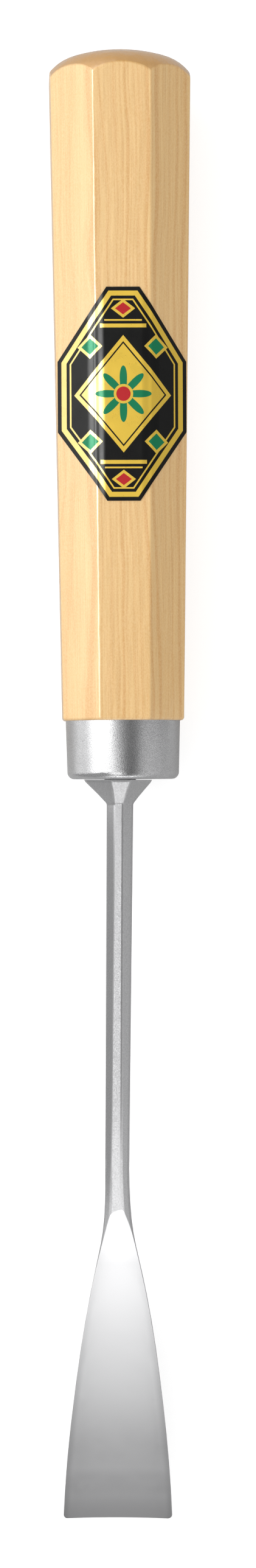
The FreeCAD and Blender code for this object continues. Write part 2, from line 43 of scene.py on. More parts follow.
def tool_place(x, y, z):
    """The row-frame place, in millimetres, of a point given along the tool's own line."""
    butt_x = -(BLADE_SEAT + BLADE_LENGTH) / 2 * math.cos(SLOPE)
    butt_z = BUTT_FLATS / 2 * math.cos(SLOPE)
    return Vector((butt_x, 0, butt_z)) + Matrix.Rotation(SLOPE, 3, "Y") @ Vector((x, y, z))


def colour(code):
    """Linear colour of an sRGB hex value."""
    parts = [int(code[i:i + 2], 16) / 255 for i in (1, 3, 5)]
    linear = [c / 12.92 if c <= 0.04045 else ((c + 0.055) / 1.055) ** 2.4 for c in parts]
    return (*linear, 1.0)


def add(tree, kind, inputs=None, stops=None, **settings):
    """Adds a node with its settings. An input takes a value, a socket, or a node, whose first
    output it links. Stops are places and shades on a colour ramp."""
    node = tree.nodes.new(kind)
    for name, setting in settings.items():
        setattr(node, name, setting)
    for key, given in (inputs or {}).items():
        if isinstance(given, bpy.types.Node):
            given = given.outputs[0]
        if isinstance(given, bpy.types.NodeSocket):
            tree.links.new(given, node.inputs[key])
        else:
            node.inputs[key].default_value = given
    if stops:
        ramp = node.color_ramp
        while len(ramp.elements) < len(stops):
            ramp.elements.new(1.0)
        for element, (place, shade) in zip(ramp.elements, stops):
            element.position = place
            element.color = (shade, shade, shade, 1.0)
    return node


def new_material(name):
    material = bpy.data.materials.new(name)
    material.use_nodes = True
    material.node_tree.nodes.clear()
    return material, material.node_tree


def finish_material(tree, shader):
    add(tree, "ShaderNodeOutputMaterial", {"Surface": shader})


def own_axes(tree, along=0.0, across=0.0, yaw=0.0):
    """Object coordinates turned to the tool's line or a piece's own, in millimetres from an
    origin given along and across the tool's line."""
    turn = Matrix.Rotation(yaw, 3, "Z") @ Matrix.Rotation(-SLOPE, 3, "Y")
    return add(tree, "ShaderNodeMapping", {
        "Vector": add(tree, "ShaderNodeTexCoord").outputs["Object"],
        "Location": -(turn @ tool_place(along, across, 0)), "Rotation": (0, -SLOPE, yaw),
        "Scale": (1 / MM,) * 3})


def turn_share(tree, apart):
    """How far round the tool's line a place or direction lies, as a share of a whole turn:
    0.25 at the left horizon, 0.5 overhead and 0.75 at the right horizon."""
    turn = add(tree, "ShaderNodeMath", {
        0: apart.outputs["Y"], 1: apart.outputs["Z"]}, operation="ARCTAN2")
    return add(tree, "ShaderNodeMath", {
        0: turn, 1: 1 / (2 * math.pi), 2: 0.5}, operation="MULTIPLY_ADD")


# Pale hardwood

# Where the tree's pith lay, along, across and up from the tool's line, and how far the rings
# sway.
PITH = (0.0, 95.0, -40.0)
RING_SWAY = 6.0


def hardwood_material():
    """Straight-grained pale hardwood, planed and under satin lacquer: honey growth lines about a
    millimetre apart run the length of the handle, with fine fibre between them."""
    material, tree = new_material("lacquered_hardwood")
    place = own_axes(tree)

    # Noises drawn out along the grain: their repeats in a millimetre, detail and roughness.
    sway, fibre, cloud, fleck, ripple = [
        add(tree, "ShaderNodeTexNoise", {
            "Vector": add(tree, "ShaderNodeMapping", {"Vector": place, "Scale": repeats}),
            "Scale": 1.0, "Detail": detail, "Roughness": roughness})
        for repeats, detail, roughness in (
            ((0.018, 0.09, 0.09), 2.0, 0.45), ((0.035, 3.2, 3.2), 2.0, 0.6),
            ((0.03, 0.12, 0.12), 2.0, 0.5), ((3.0, 5.0, 5.0), 1.0, 0.5),
            ((0.12, 0.5, 0.5), 2.0, 0.5))]

    # Growth rings stand almost upright in the handle, round a pith well off to one side.
    apart = add(tree, "ShaderNodeSeparateXYZ", {"Vector": place})
    from_pith = add(tree, "ShaderNodeVectorMath", {
        0: add(tree, "ShaderNodeCombineXYZ", {"Y": apart.outputs["Y"], "Z": apart.outputs["Z"]}),
        1: PITH}, operation="DISTANCE").outputs["Value"]
    ring = add(tree, "ShaderNodeMath", {
        0: sway, 1: RING_SWAY, 2: from_pith}, operation="MULTIPLY_ADD")
    growth = add(tree, "ShaderNodeTexNoise", {
        "W": ring, "Scale": 0.85, "Detail": 3.5, "Roughness": 0.62}, noise_dimensions="1D")
    growth_lines = add(tree, "ShaderNodeMath", {
        0: add(tree, "ShaderNodeValToRGB", {"Fac": growth}, stops=[
            (0.38, 0.0), (0.50, 0.20), (0.59, 0.66), (0.68, 1.0)]), 1: 0.62},
        operation="MULTIPLY")

    fibres = add(tree, "ShaderNodeMapRange", {
        "Value": fibre, "From Min": 0.40, "From Max": 0.70, "To Min": 0.0, "To Max": 0.45})
    flecks = add(tree, "ShaderNodeMapRange", {
        "Value": fleck, "From Min": 0.35, "From Max": 0.65, "To Min": 0.0, "To Max": 0.32})
    # End grain on the turned crown drinks more lacquer and shows darker.
    facing = add(tree, "ShaderNodeSeparateXYZ", {
        "Vector": add(tree, "ShaderNodeNewGeometry").outputs["Normal"]}).outputs["X"]
    end_grain = add(tree, "ShaderNodeMapRange", {
        "Value": facing, "From Min": -0.12, "From Max": -0.60, "To Min": 0.0, "To Max": 0.92},
        interpolation_type="SMOOTHSTEP")
    wood_colour = add(tree, "ShaderNodeMix", {
        "Factor": cloud, COLOUR_A: colour("#EFC888"), COLOUR_B: colour("#E8BB76")},
        data_type="RGBA")
    for amount, code in ((growth_lines, "#D29342"), (fibres, "#D1974F"), (flecks, "#F6D59B"),
                         (end_grain, "#BA8428")):
        wood_colour = add(tree, "ShaderNodeMix", {
            "Factor": amount, COLOUR_A: wood_colour.outputs[MIXED], COLOUR_B: colour(code)},
            data_type="RGBA")

    # Lacquer over open fibre: faint lengthwise ripples that break up the shine of the arrises.
    ripples = add(tree, "ShaderNodeBump", {
        "Strength": 0.5, "Distance": 0.4 * MM, "Height": ripple})
    grain_bump = add(tree, "ShaderNodeBump", {
        "Strength": 0.12, "Distance": 0.05 * MM, "Height": fibre, "Normal": ripples})
    roughness = add(tree, "ShaderNodeMapRange", {
        "Value": fibre, "From Min": 0.3, "From Max": 0.7, "To Min": 0.34, "To Max": 0.46})
    finish_material(tree, add(tree, "ShaderNodeBsdfPrincipled", {
        "Base Color": wood_colour.outputs[MIXED], "Roughness": roughness, "IOR": 1.5,
        "Normal": grain_bump, "Coat Weight": 1.0, "Coat Roughness": 0.20, "Coat IOR": 1.8,
        "Coat Normal": ripples}))
    return material


# Drawn steel ferrule


def ferrule_material():
    """Cold-drawn steel, tumbled to a satin: even grey with a fine speckle, an eighth of a
    millimetre across, that shows where a bright reflection meets a dark one."""
    material, tree = new_material("drawn_satin_steel")
    place = own_axes(tree)
    speckle = add(tree, "ShaderNodeTexNoise", {
        "Vector": place, "Scale": 8.0, "Detail": 1.0, "Roughness": 0.5})
    dull = add(tree, "ShaderNodeTexNoise", {
        "Vector": add(tree, "ShaderNodeMapping", {"Vector": place, "Scale": (0.5, 0.25, 0.25)}),
        "Scale": 1.0, "Detail": 2.0})
    steel_colour = add(tree, "ShaderNodeMix", {
        "Factor": dull, COLOUR_A: colour("#D5D5D6"), COLOUR_B: colour("#C9C9CA")},
        data_type="RGBA")
    pitted = add(tree, "ShaderNodeMapRange", {
        "Value": speckle, "From Min": 0.42, "From Max": 0.66, "To Min": 0.0, "To Max": 0.5})
    speckled = add(tree, "ShaderNodeMix", {
        "Factor": pitted, COLOUR_A: steel_colour.outputs[MIXED], COLOUR_B: colour("#828283")},
        data_type="RGBA")
    roughness = add(tree, "ShaderNodeMapRange", {
        "Value": speckle, "From Min": 0.3, "From Max": 0.7, "To Min": 0.12, "To Max": 0.20})
    pits = add(tree, "ShaderNodeBump", {
        "Strength": 1.0, "Distance": 0.026 * MM, "Height": speckle})
    finish_material(tree, add(tree, "ShaderNodeBsdfPrincipled", {
        "Base Color": speckled.outputs[MIXED], "Metallic": 1.0, "Roughness": roughness,
        "Normal": pits}))
    return material


# Forged blade

# Distance along the flare, and its width there, in shares of the whole, as on the solid.
FLARE = (
    (0.0, 0.0), (0.068, 0.002), (0.125, 0.016), (0.180, 0.050), (0.235, 0.120), (0.290, 0.220),
    (0.350, 0.330), (0.450, 0.490), (0.580, 0.660), (0.740, 0.830), (0.880, 0.940), (1.0, 1.0))
FLARE_START = 69.3
FLARE_LENGTH = 66.0
SHANK_FLATS = 4.3
BLADE_WIDTH = 20.0
SCOOP_START = 9.8
SCOOP_DECAY = 6.0
HOLLOW_SHARE = 0.065
FACE_ROLL = math.radians(2.0)

# The middle of a band of painted shade near the cutting edge, along the flare, how softly the
# polish ends, and how much bump the satin has, which the polish takes out.
PAINTED_SHADE_BAND = 59.5
POLISH_FADE = 0.05
SATIN_BUMP = 0.3


def blade_material():
    """Forged tool steel: bolster and shank with a fine blasted satin, and the scooped face ground
    and polished, clear to a soft line where it leaves the shank."""
    material, tree = new_material("forged_tool_steel")
    place = own_axes(tree, BLADE_SEAT, -BLADE_SIDE_OFFSET, BLADE_YAW)
    turned = add(tree, "ShaderNodeVectorRotate", {
        "Vector": place, "Angle": -FACE_ROLL}, rotation_type="X_AXIS")
    apart = add(tree, "ShaderNodeSeparateXYZ", {"Vector": turned})
    across, up = apart.outputs["Y"], apart.outputs["Z"]
    along = add(tree, "ShaderNodeMath", {
        0: apart.outputs["X"], 1: FLARE_START}, operation="SUBTRACT")

    # How far each place lies below the ground face, so that only the ground face is polished.
    share = add(tree, "ShaderNodeMath", {0: along, 1: FLARE_LENGTH}, operation="DIVIDE")
    width = add(tree, "ShaderNodeMath", {
        0: add(tree, "ShaderNodeValToRGB", {"Fac": share}, stops=FLARE),
        1: BLADE_WIDTH - SHANK_FLATS, 2: SHANK_FLATS}, operation="MULTIPLY_ADD")
    past_scoop = add(tree, "ShaderNodeMath", {0: SCOOP_START, 1: along}, operation="SUBTRACT")
    scoop = add(tree, "ShaderNodeMath", {0: math.e, 1: add(tree, "ShaderNodeMath", {
        0: past_scoop, 1: SCOOP_DECAY}, operation="DIVIDE")}, operation="POWER")
    squared = add(tree, "ShaderNodeMath", {0: across, 1: across}, operation="MULTIPLY")
    hollow = add(tree, "ShaderNodeMath", {0: add(tree, "ShaderNodeMath", {
        0: squared, 1: 4 * HOLLOW_SHARE}, operation="MULTIPLY"), 1: width}, operation="DIVIDE")
    face = add(tree, "ShaderNodeMath", {
        0: scoop, 1: SHANK_FLATS / 2, 2: hollow}, operation="MULTIPLY_ADD")
    below_face = add(tree, "ShaderNodeMath", {0: face, 1: up}, operation="SUBTRACT")
    slack = add(tree, "ShaderNodeMapRange", {
        "Value": along, "From Min": 15.0, "From Max": 40.0, "To Min": 0.05, "To Max": 0.25})
    polished = add(tree, "ShaderNodeMapRange", {
        "Value": below_face, "From Min": add(tree, "ShaderNodeMath", {0: slack, 1: POLISH_FADE}),
        "From Max": slack})

    # A band near the cutting edge is painted a shade darker, a painted shade that evens the light
    # on it, because the solid's mesh is slightly uneven there.
    painted_shade_band = add(tree, "ShaderNodeMapRange", {
        "Value": add(tree, "ShaderNodeMath", {0: add(tree, "ShaderNodeMath", {
            0: along, 1: PAINTED_SHADE_BAND}, operation="SUBTRACT")}, operation="ABSOLUTE"),
        "From Min": 0.6, "From Max": 3.0, "To Min": 0.75, "To Max": 0.0},
        interpolation_type="SMOOTHSTEP")
    # Painted highlight: the scoop's colour is lighter. Painted shade: the colour darkens towards
    # the face's long edges, and a little towards the cutting edge.
    painted_scoop_highlight = add(tree, "ShaderNodeMapRange", {
        "Value": along, "From Min": 11.5, "From Max": 19.5, "To Min": 1.0, "To Max": 0.0})
    to_edge = add(tree, "ShaderNodeMath", {
        0: add(tree, "ShaderNodeMath", {0: width, 1: 0.5}, operation="MULTIPLY"),
        1: add(tree, "ShaderNodeMath", {0: across}, operation="ABSOLUTE")}, operation="SUBTRACT")
    edge_shade_depth = add(tree, "ShaderNodeMapRange", {
        "Value": to_edge, "From Min": 0.0, "From Max": 1.4, "To Min": 0.55, "To Max": 0.0},
        interpolation_type="SMOOTHSTEP")
    painted_edge_shade = add(tree, "ShaderNodeMath", {0: edge_shade_depth, 1: add(tree, "ShaderNodeMapRange", {
        "Value": along, "From Min": 15.0, "From Max": 42.0})}, operation="MULTIPLY")
    tone = add(tree, "ShaderNodeMapRange", {
        "Value": along, "From Min": 24.0, "From Max": 66.0})
    polish_colour = add(tree, "ShaderNodeMix", {
        "Factor": tone, COLOUR_A: colour("#D6D6D7"), COLOUR_B: colour("#D2D2D3")},
        data_type="RGBA")
    for amount, code in ((painted_shade_band, "#C0C0C1"), (painted_scoop_highlight, "#F3F3F4"), (painted_edge_shade, "#AFAFB0")):
        polish_colour = add(tree, "ShaderNodeMix", {
            "Factor": amount, COLOUR_A: polish_colour.outputs[MIXED], COLOUR_B: colour(code)},
            data_type="RGBA")

    speckle = add(tree, "ShaderNodeTexNoise", {
        "Vector": place, "Scale": 4.5, "Detail": 1.5, "Roughness": 0.6})
    blotch = add(tree, "ShaderNodeTexNoise", {
        "Vector": add(tree, "ShaderNodeMapping", {"Vector": place, "Scale": (0.15, 0.5, 0.5)}),
        "Scale": 1.0, "Detail": 3.0})
    satin_colour = add(tree, "ShaderNodeMix", {
        "Factor": speckle, COLOUR_A: colour("#D0D0D1"), COLOUR_B: colour("#A6A6A7")},
        data_type="RGBA")
    steel_colour = add(tree, "ShaderNodeMix", {
        "Factor": polished, COLOUR_A: satin_colour.outputs[MIXED],
        COLOUR_B: polish_colour.outputs[MIXED]}, data_type="RGBA")
    satin_roughness = add(tree, "ShaderNodeMapRange", {
        "Value": speckle, "From Min": 0.3, "From Max": 0.7, "To Min": 0.30, "To Max": 0.44})
    roughness = add(tree, "ShaderNodeMix", {
        "Factor": polished, VALUE_A: satin_roughness, VALUE_B: 0.22})
    bump = add(tree, "ShaderNodeMath", {0: SATIN_BUMP, 1: add(tree, "ShaderNodeMath", {
        0: polished, 1: SATIN_BUMP}, operation="MULTIPLY")}, operation="SUBTRACT")
    grit = add(tree, "ShaderNodeBump", {
        "Strength": bump, "Distance": 0.03 * MM, "Height": speckle})
    dents = add(tree, "ShaderNodeBump", {
        "Strength": bump, "Distance": 0.1 * MM, "Height": blotch, "Normal": grit})
    finish_material(tree, add(tree, "ShaderNodeBsdfPrincipled", {
        "Base Color": steel_colour.outputs[MIXED], "Metallic": 1.0, "Roughness": roughness,
        "Normal": dents}))
    return material


# Label

# The die-cut outline in millimetres: its start from the butt, its whole length and width, and
# how long its straight sides and ends are.
LABEL_START = 44.6
LABEL_LENGTH, LABEL_WIDTH = 38.6, 23.5
LABEL_SIDES, LABEL_ENDS = 12.8, 6.0

# The rosette's petals: their number, the middle of their outline from the rosette's own middle,
# and how far it swings in and out.
PETALS = 8.0
PETAL_LENGTH, PETAL_SWING = 3.4, 1.7

# The handle's arris: how far it lies from the middle line at the label's middle, and how that
# changes for each millimetre towards the ferrule.
ARRIS_MIDDLE = 4.94
ARRIS_TAPER = -0.00624


def label_material():
    """Foil label, printed: matt black ink leaves bare gold in a border, a lozenge and small
    diamonds, and clear green and red inks let the foil shine through. The foil creases with the
    grain under it."""
    material, tree = new_material("printed_gold_foil")
    place = own_axes(tree, LABEL_START + LABEL_LENGTH / 2)
    unfolded = add(tree, "ShaderNodeSeparateXYZ", {"Vector": place})
    folded = add(tree, "ShaderNodeVectorMath", {0: place}, operation="ABSOLUTE").outputs[0]
    apart = add(tree, "ShaderNodeSeparateXYZ", {"Vector": folded})
    out, side = apart.outputs["X"], apart.outputs["Y"]

    # Distance inside the die-cut outline: ends, sides and the four slanting edges.
    end_run, side_run = LABEL_LENGTH / 2 - LABEL_SIDES / 2, LABEL_WIDTH / 2 - LABEL_ENDS / 2
    slant = math.hypot(end_run, side_run)
    to_end = add(tree, "ShaderNodeMath", {0: LABEL_LENGTH / 2, 1: out}, operation="SUBTRACT")
    to_side = add(tree, "ShaderNodeMath", {0: LABEL_WIDTH / 2, 1: side}, operation="SUBTRACT")
    lean = add(tree, "ShaderNodeVectorMath", {
        0: folded, 1: (side_run / slant, end_run / slant, 0)},
        operation="DOT_PRODUCT").outputs["Value"]
    to_slant = add(tree, "ShaderNodeMath", {
        0: (LABEL_LENGTH / 2 * side_run + LABEL_ENDS / 2 * end_run) / slant, 1: lean},
        operation="SUBTRACT")
    inside = add(tree, "ShaderNodeMath", {0: to_end, 1: add(tree, "ShaderNodeMath", {
        0: to_side, 1: to_slant}, operation="MINIMUM")}, operation="MINIMUM")

    # Each ink's colour, and how much of the foil shows through it.
    gold, black, green, red = [(colour(code), foil) for code, foil in (
        ("#EFC94F", 1.0), ("#10100F", 0.0), ("#127A52", 0.25), ("#B8262B", 0.25))]
    prints = []

    # Border and hairline, by their distance inside the outline.
    for middle, half in ((1.15, 0.45), (2.3, 0.14)):
        prints.append((add(tree, "ShaderNodeMath", {
            0: inside, 1: middle, 2: half}, operation="COMPARE"), gold))

    # Bars across both ends.
    for middle, half, reach in ((12.3, 0.35, 4.2), (13.3, 0.15, 3.4)):
        bar = add(tree, "ShaderNodeMath", {0: out, 1: middle, 2: half}, operation="COMPARE")
        short = add(tree, "ShaderNodeMath", {0: side, 1: reach}, operation="LESS_THAN")
        prints.append((add(tree, "ShaderNodeMath", {
            0: bar, 1: short}, operation="MULTIPLY"), gold))

    # Diamonds: how far out and to the side, half their length and width, and their ink.
    for away, aside, half_length, half_width, ink in (
            (0.0, 0.0, 10.6, 8.8, gold), (0.0, 0.0, 9.5, 7.9, black),
            (0.0, 0.0, 9.1, 7.55, gold), (8.6, 6.0, 2.2, 2.2, gold),
            (8.6, 6.0, 1.5, 1.5, green), (15.4, 0.0, 1.7, 2.2, gold),
            (15.4, 0.0, 1.1, 1.45, red)):
        spread = add(tree, "ShaderNodeMapping", {
            "Vector": folded, "Location": (-away / half_length, -aside / half_width, 0),
            "Scale": (1 / half_length, 1 / half_width, 0)})
        across = add(tree, "ShaderNodeVectorMath", {
            0: add(tree, "ShaderNodeVectorMath", {0: spread}, operation="ABSOLUTE"),
            1: (1, 1, 0)}, operation="DOT_PRODUCT").outputs["Value"]
        prints.append((add(tree, "ShaderNodeMath", {
            0: across, 1: 1.0}, operation="LESS_THAN"), ink))

    # Rosette of petals in the lozenge, with an eye.
    flat_place = add(tree, "ShaderNodeVectorMath", {0: place, 1: (1, 1, 0)}, operation="MULTIPLY")
    radius = add(tree, "ShaderNodeVectorMath", {
        0: flat_place}, operation="LENGTH").outputs["Value"]
    turn = add(tree, "ShaderNodeMath", {0: side, 1: out}, operation="ARCTAN2")
    wave = add(tree, "ShaderNodeMath", {0: add(tree, "ShaderNodeMath", {
        0: turn, 1: PETALS}, operation="MULTIPLY")}, operation="COSINE")
    petal = add(tree, "ShaderNodeMath", {
        0: wave, 1: PETAL_SWING, 2: PETAL_LENGTH}, operation="MULTIPLY_ADD")
    for reach, ink in ((petal, green), (1.75, gold), (1.3, red)):
        prints.append((add(tree, "ShaderNodeMath", {
            0: radius, 1: reach}, operation="LESS_THAN"), ink))

    printed, bare = black
    for mask, (ink, foil) in prints:
        printed = add(tree, "ShaderNodeMix", {
            "Factor": mask, COLOUR_A: printed, COLOUR_B: ink}, data_type="RGBA").outputs[MIXED]
        bare = add(tree, "ShaderNodeMix", {"Factor": mask, VALUE_A: bare, VALUE_B: foil})
    # Painted sheen: bare foil is painted paler, towards white gold, over the bend to the lit
    # side.
    lit = add(tree, "ShaderNodeMapRange", {
        "Value": unfolded.outputs["Y"], "From Min": -2.6, "From Max": -5.6, "To Min": 0.0,
        "To Max": 0.7})
    only_gold = add(tree, "ShaderNodeMath", {0: bare, 1: 0.9}, operation="GREATER_THAN")
    sheen_painted_colour = add(tree, "ShaderNodeMix", {
        "Factor": add(tree, "ShaderNodeMath", {0: only_gold, 1: lit}, operation="MULTIPLY"),
        COLOUR_A: printed, COLOUR_B: colour("#EDD896")}, data_type="RGBA")

    grain = add(tree, "ShaderNodeTexNoise", {
        "Vector": add(tree, "ShaderNodeMapping", {"Vector": place, "Scale": (0.12, 1.1, 1.1)}),
        "Scale": 1.0, "Detail": 3.0})
    rubbed = add(tree, "ShaderNodeTexNoise", {"Vector": place, "Scale": 0.35, "Detail": 5.0})
    roughness = add(tree, "ShaderNodeMapRange", {
        "Value": rubbed, "From Min": 0.35, "From Max": 0.65, "To Min": 0.26, "To Max": 0.34})
    creases = add(tree, "ShaderNodeBump", {
        "Strength": 0.4, "Distance": 0.02 * MM, "Height": grain})
    # The foil bends over each arris more softly than the wood does.
    arris = add(tree, "ShaderNodeMath", {
        0: unfolded.outputs["X"], 1: ARRIS_TAPER, 2: ARRIS_MIDDLE}, operation="MULTIPLY_ADD")
    from_arris = add(tree, "ShaderNodeMath", {0: add(tree, "ShaderNodeMath", {
        0: side, 1: arris}, operation="SUBTRACT")}, operation="ABSOLUTE")
    bend = add(tree, "ShaderNodeMapRange", {
        "Value": from_arris, "From Min": 0.0, "From Max": 1.7}, interpolation_type="SMOOTHSTEP")
    bent = add(tree, "ShaderNodeBump", {
        "Strength": 1.0, "Distance": 0.45 * MM, "Height": bend, "Normal": creases})
    satin_gold = add(tree, "ShaderNodeMath", {0: bare, 1: 0.4}, operation="MULTIPLY")
    finish_material(tree, add(tree, "ShaderNodeBsdfPrincipled", {
        "Base Color": sheen_painted_colour.outputs[MIXED], "Metallic": satin_gold, "Roughness": roughness,
        "Specular IOR Level": 0.25, "Normal": bent}))
    return material


for node_name, material in (("handle", hardwood_material()), ("ferrule", ferrule_material()),
                            ("blade", blade_material()), ("label", label_material())):
    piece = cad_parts[node_name]
    for slot in piece.material_slots:
        slot.material = material


# Floor, cards, lamp and camera

# Brightness of the paper to the camera, on top of what the lamp gives it, and of its painted glow
# in mirrors.
PAPER_SEEN = 0.64
PAPER_MIRRORED = 0.46


def floor_material():
    """White paper: it shows as plain white, and still takes the tool's soft shadow. To mirrors
    only, it has a painted glow to the left of the tool."""
    material, tree = new_material("white_paper")
    rays = add(tree, "ShaderNodeLightPath")
    mirrored = add(tree, "ShaderNodeMath", {
        0: rays.outputs["Is Glossy Ray"], 1: rays.outputs["Is Transmission Ray"]},
        operation="MAXIMUM")
    place = add(tree, "ShaderNodeTexCoord").outputs["Object"]
    painted_glow_left = add(tree, "ShaderNodeMapRange", {
        "Value": add(tree, "ShaderNodeSeparateXYZ", {"Vector": place}).outputs["Y"],
        "From Min": -0.026, "From Max": -0.056, "To Min": 0.0, "To Max": PAPER_MIRRORED})
    to_camera = add(tree, "ShaderNodeMath", {
        0: rays.outputs["Is Camera Ray"], 1: PAPER_SEEN}, operation="MULTIPLY")
    seen = add(tree, "ShaderNodeMath", {
        0: mirrored, 1: painted_glow_left, 2: to_camera}, operation="MULTIPLY_ADD")
    grain = add(tree, "ShaderNodeTexNoise", {"Vector": place, "Scale": 900.0, "Detail": 2.0})
    tooth = add(tree, "ShaderNodeBump", {
        "Strength": 0.05, "Distance": 0.1 * MM, "Height": grain})
    finish_material(tree, add(tree, "ShaderNodeBsdfPrincipled", {
        "Base Color": colour("#C8C8C8"), "Roughness": 0.9, "Specular IOR Level": 0.0,
        "Emission Color": (1.0, 1.0, 1.0, 1.0), "Emission Strength": seen, "Normal": tooth}))
    return material


floor_mesh = bpy.data.meshes.new("floor")
floor_mesh.from_pydata([(-4, -4, 0), (4, -4, 0), (4, 4, 0), (-4, 4, 0)], [], [(0, 1, 2, 3)])
floor_mesh.materials.append(floor_material())
floor = bpy.data.objects.new("floor", floor_mesh)
bpy.context.scene.collection.objects.link(floor)


def hang(name, corners, quads, material):
    """A card that only mirrors see, from corners along the tool's line in millimetres."""
    mesh = bpy.data.meshes.new(name)
    mesh.from_pydata([tuple(tool_place(*corner) * MM) for corner in corners], [], quads)
    mesh.materials.append(material)
    hung = bpy.data.objects.new(name, mesh)
    hung.visible_camera = hung.visible_diffuse = hung.visible_shadow = False
    bpy.context.scene.collection.objects.link(hung)


def glow_material(name, glow):
    """A plain lit card, where a glow of 1 is white."""
    material, tree = new_material(name)
    finish_material(tree, add(tree, "ShaderNodeEmission", {"Strength": glow}))
    return material


# Card held low over the face, which mirrors it: white at the shank's end, shaded off past the
# edge.
CARD_START, CARD_END = 205.0, 300.0
CARD_HEIGHT = 35.0
CARD_SIDE = 60.0

# The face is rolled a little, so its middle mirrors a place to the left of the tool's line.
CARD_MIDDLE = -3.0


def card_material():
    """White card shaded to grey, the light that a polished face is photographed under."""
    material, tree = new_material("shaded_card")
    apart = add(tree, "ShaderNodeSeparateXYZ", {"Vector": own_axes(tree)})
    along = add(tree, "ShaderNodeMapRange", {
        "Value": apart.outputs["X"], "From Min": CARD_START, "From Max": CARD_END})
    shade = add(tree, "ShaderNodeValToRGB", {"Fac": along}, stops=[
        (0.0, 1.2), (0.255, 1.06), (0.290, 0.93), (0.325, 0.88), (0.361, 0.785), (0.489, 0.571),
        (0.599, 0.413), (0.640, 0.32), (0.709, 0.28), (0.895, 0.22)])
    # Its sides are duller than its middle: hardly at the shank's end, by a third past the edge.
    side = add(tree, "ShaderNodeMath", {0: add(tree, "ShaderNodeMath", {
        0: apart.outputs["Y"], 1: -CARD_MIDDLE})}, operation="ABSOLUTE")
    side_glow = add(tree, "ShaderNodeMapRange", {
        "Value": along, "From Min": 0.27, "From Max": 0.72, "To Min": 1.45, "To Max": 1.0})
    fade = add(tree, "ShaderNodeMapRange", {
        "Value": side, "From Min": 6.0, "From Max": 15.0, "To Min": 1.5, "To Max": side_glow},
        interpolation_type="SMOOTHSTEP")
    finish_material(tree, add(tree, "ShaderNodeEmission", {"Color": shade, "Strength": fade}))
    return material


hang("shaded_card", [
    (CARD_START, -CARD_SIDE, CARD_HEIGHT), (CARD_START, CARD_SIDE, CARD_HEIGHT),
    (CARD_END, CARD_SIDE, CARD_HEIGHT), (CARD_END, -CARD_SIDE, CARD_HEIGHT)],
    [(0, 1, 2, 3)], card_material())

# Grey flag standing to the left of the shank, which keeps the white band out of its rounded
# edges.
FLAG_START, FLAG_END = 138.5, 213.0
FLAG_SIDE, FLAG_TOP, FLAG_FOOT = -28.0, 60.0, -12.0
FLAG_GLOW = 0.45

hang("grey_flag", [
    (FLAG_START, FLAG_SIDE, FLAG_FOOT), (FLAG_END, FLAG_SIDE, FLAG_FOOT),
    (FLAG_END, FLAG_SIDE, FLAG_TOP), (FLAG_START, FLAG_SIDE, FLAG_TOP)],
    [(0, 1, 2, 3)], glow_material("grey_flag", FLAG_GLOW))


def strip(name, start, end, distance, angles, glow):
    """A white strip along the tool, between two angles round its line, negative to the left."""
    turns = [math.radians(angle) for angle in angles]
    hang(name, [(x, distance * math.sin(turn), distance * math.cos(turn))
                for turn in turns for x in (start, end)],
         [(0, 1, 3, 2)], glow_material(name, glow))


# The shank's front flat mirrors one strip, high over it. The label mirrors the other, which is
# brighter and inside the tent, where it bends to the left.
strip("shank_strip", start=142.0, end=213.0, distance=85.0, angles=(-23.5, -8.0), glow=2.2)
strip("label_strip", start=43.5, end=78.5, distance=66.0, angles=(-55.0, -33.0), glow=15.0)

# Light tent round the handle: bright on the left, dark on the right, and brightest by far in a
# band high on the left that the arrises and the label's bend pick up. TENT_REACH is how many
# degrees it comes down on each side.
TENT_START, TENT_END = -45.0, 121.5
TENT_RADIUS = 70.0
TENT_REACH = 112
TENT_PANELS = 36
TENT_GLOW = 6.5


def tent_material():
    """White cloth lit through, in shares of its brightest band by the turn round the tool."""
    material, tree = new_material("light_tent")
    apart = add(tree, "ShaderNodeSeparateXYZ", {"Vector": own_axes(tree)})
    glow = add(tree, "ShaderNodeValToRGB", {"Fac": turn_share(tree, apart)}, stops=[
        (0.20, 0.185), (0.27, 0.20), (0.325, 0.25), (0.352, 1.0), (0.405, 1.0), (0.43, 0.20),
        (0.46, 0.07), (0.54, 0.054), (0.60, 0.046), (0.74, 0.046)])
    finish_material(tree, add(tree, "ShaderNodeEmission", {"Color": glow, "Strength": TENT_GLOW}))
    return material


rim_turns = [math.radians(-TENT_REACH + 2 * TENT_REACH * n / TENT_PANELS)
             for n in range(TENT_PANELS + 1)]
hang("light_tent", [(x, TENT_RADIUS * math.sin(turn), TENT_RADIUS * math.cos(turn))
                    for turn in rim_turns for x in (TENT_START, TENT_END)],
     [(2 * n, 2 * n + 1, 2 * n + 3, 2 * n + 2) for n in range(TENT_PANELS)], tent_material())

# One soft lamp facing the tool, in metres. Its angle is round the tool's line, to the left of
# the face, and its glow is the brightness of its cloth, where 1 is white.
LAMP_ANGLE = math.radians(48)
LAMP_ALONG, LAMP_DISTANCE = -0.30, 0.7
LAMP_LENGTH, LAMP_WIDTH = 1.1, 0.34
LAMP_GLOW = 2.45

lamp = bpy.data.lights.new("key_left", "AREA")
lamp.shape = "RECTANGLE"
lamp.size, lamp.size_y = LAMP_LENGTH, LAMP_WIDTH
lamp.energy = LAMP_GLOW * math.pi * LAMP_LENGTH * LAMP_WIDTH
softbox = bpy.data.objects.new("key_left", lamp)
softbox.visible_camera = softbox.visible_glossy = False
softbox.matrix_world = (Matrix.Rotation(LAMP_ANGLE, 4, "X")
                        @ Matrix.Translation((LAMP_ALONG, 0, LAMP_DISTANCE)))
bpy.context.scene.collection.objects.link(softbox)

# The room: white to the camera, even for the light it gives, and shaded only in mirrors, by the
# turn round the tool. There ROOM_MIRRORED is the brightness of its white parts, and END_MIRRORED
# that of its end past the cutting edge.
WHITE = (1.0, 1.0, 1.0, 1.0)
ROOM_LIGHT = 0.84
ROOM_MIRRORED = 2.4
END_MIRRORED = 2.8

